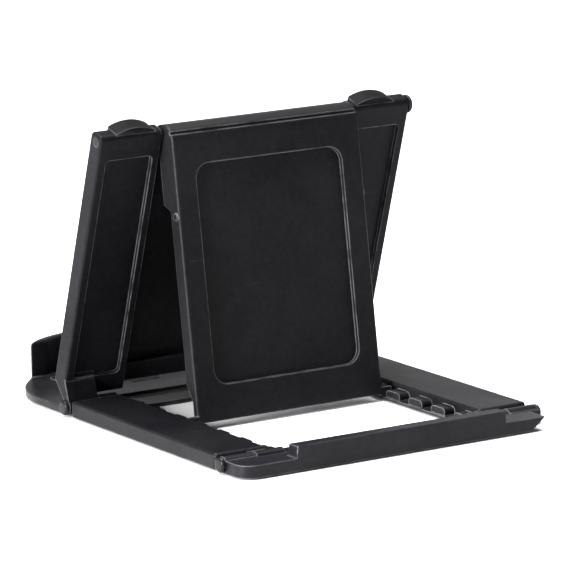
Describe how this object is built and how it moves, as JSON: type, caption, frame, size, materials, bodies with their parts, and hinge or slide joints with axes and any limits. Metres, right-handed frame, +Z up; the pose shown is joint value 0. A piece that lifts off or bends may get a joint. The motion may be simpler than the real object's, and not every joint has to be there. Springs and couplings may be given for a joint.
{
  "type": "tablet stand",
  "caption": "Small folding tablet stand with a lipped front ledge, a hinged back panel, a prop leg that drops into notched rails and a folding rear flap.",
  "frame": {"origin": "centre of the footprint on the desk, at the bottom of the feet", "axes": "+Z up, -Y towards the lip and the tablet, +X to the right of someone facing the tablet; +Y runs back along the rails"},
  "size_m": [0.0718, 0.0922, 0.0583],
  "materials": {
    "body_plastic": "satin black, fine moulded texture",
    "panel_plastic": "satin black, fine moulded texture",
    "leg_plastic": "satin black, fine moulded texture",
    "flap_plastic": "satin black, fine moulded texture",
    "pin_plastic": "smooth black",
    "pad_rubber": "soft black rubber, slightly paler where handled",
    "feet_rubber": "soft black rubber"
  },
  "bodies": {
    "base": {"base_frame": "body_plastic", "base_feet": "feet_rubber", "ledge_pads": "pad_rubber", "panel_hinge_pins": "pin_plastic", "flap_hinge_pins": "pin_plastic"},
    "panel": {"back_panel": "panel_plastic", "top_bumpers": "pad_rubber", "leg_hinge_pin": "pin_plastic"},
    "leg": {"prop_leg": "leg_plastic"},
    "flap": {"rear_flap": "flap_plastic"}
  },
  "joints": [
    {"name": "panel_tilt", "type": "hinge", "parent": "base", "child": "panel", "pos_m": [0, -0.01615, 0.0018], "axis": [1, 0, 0], "range_deg": [0, 51]},
    {"name": "leg_fold", "type": "hinge", "parent": "panel", "child": "leg", "pos_m": [0, -0.00347, 0.05491], "axis": [1, 0, 0], "range_deg": [-25.5, 0]},
    {"name": "flap_fold", "type": "hinge", "parent": "base", "child": "flap", "pos_m": [0, 0.03885, 0.0018], "axis": [1, 0, 0], "range_deg": [0, 90]}
  ],
  "couplings": [
    {"joint": "leg_fold", "follows": "panel_tilt", "ratio": -0.5}
  ]
}
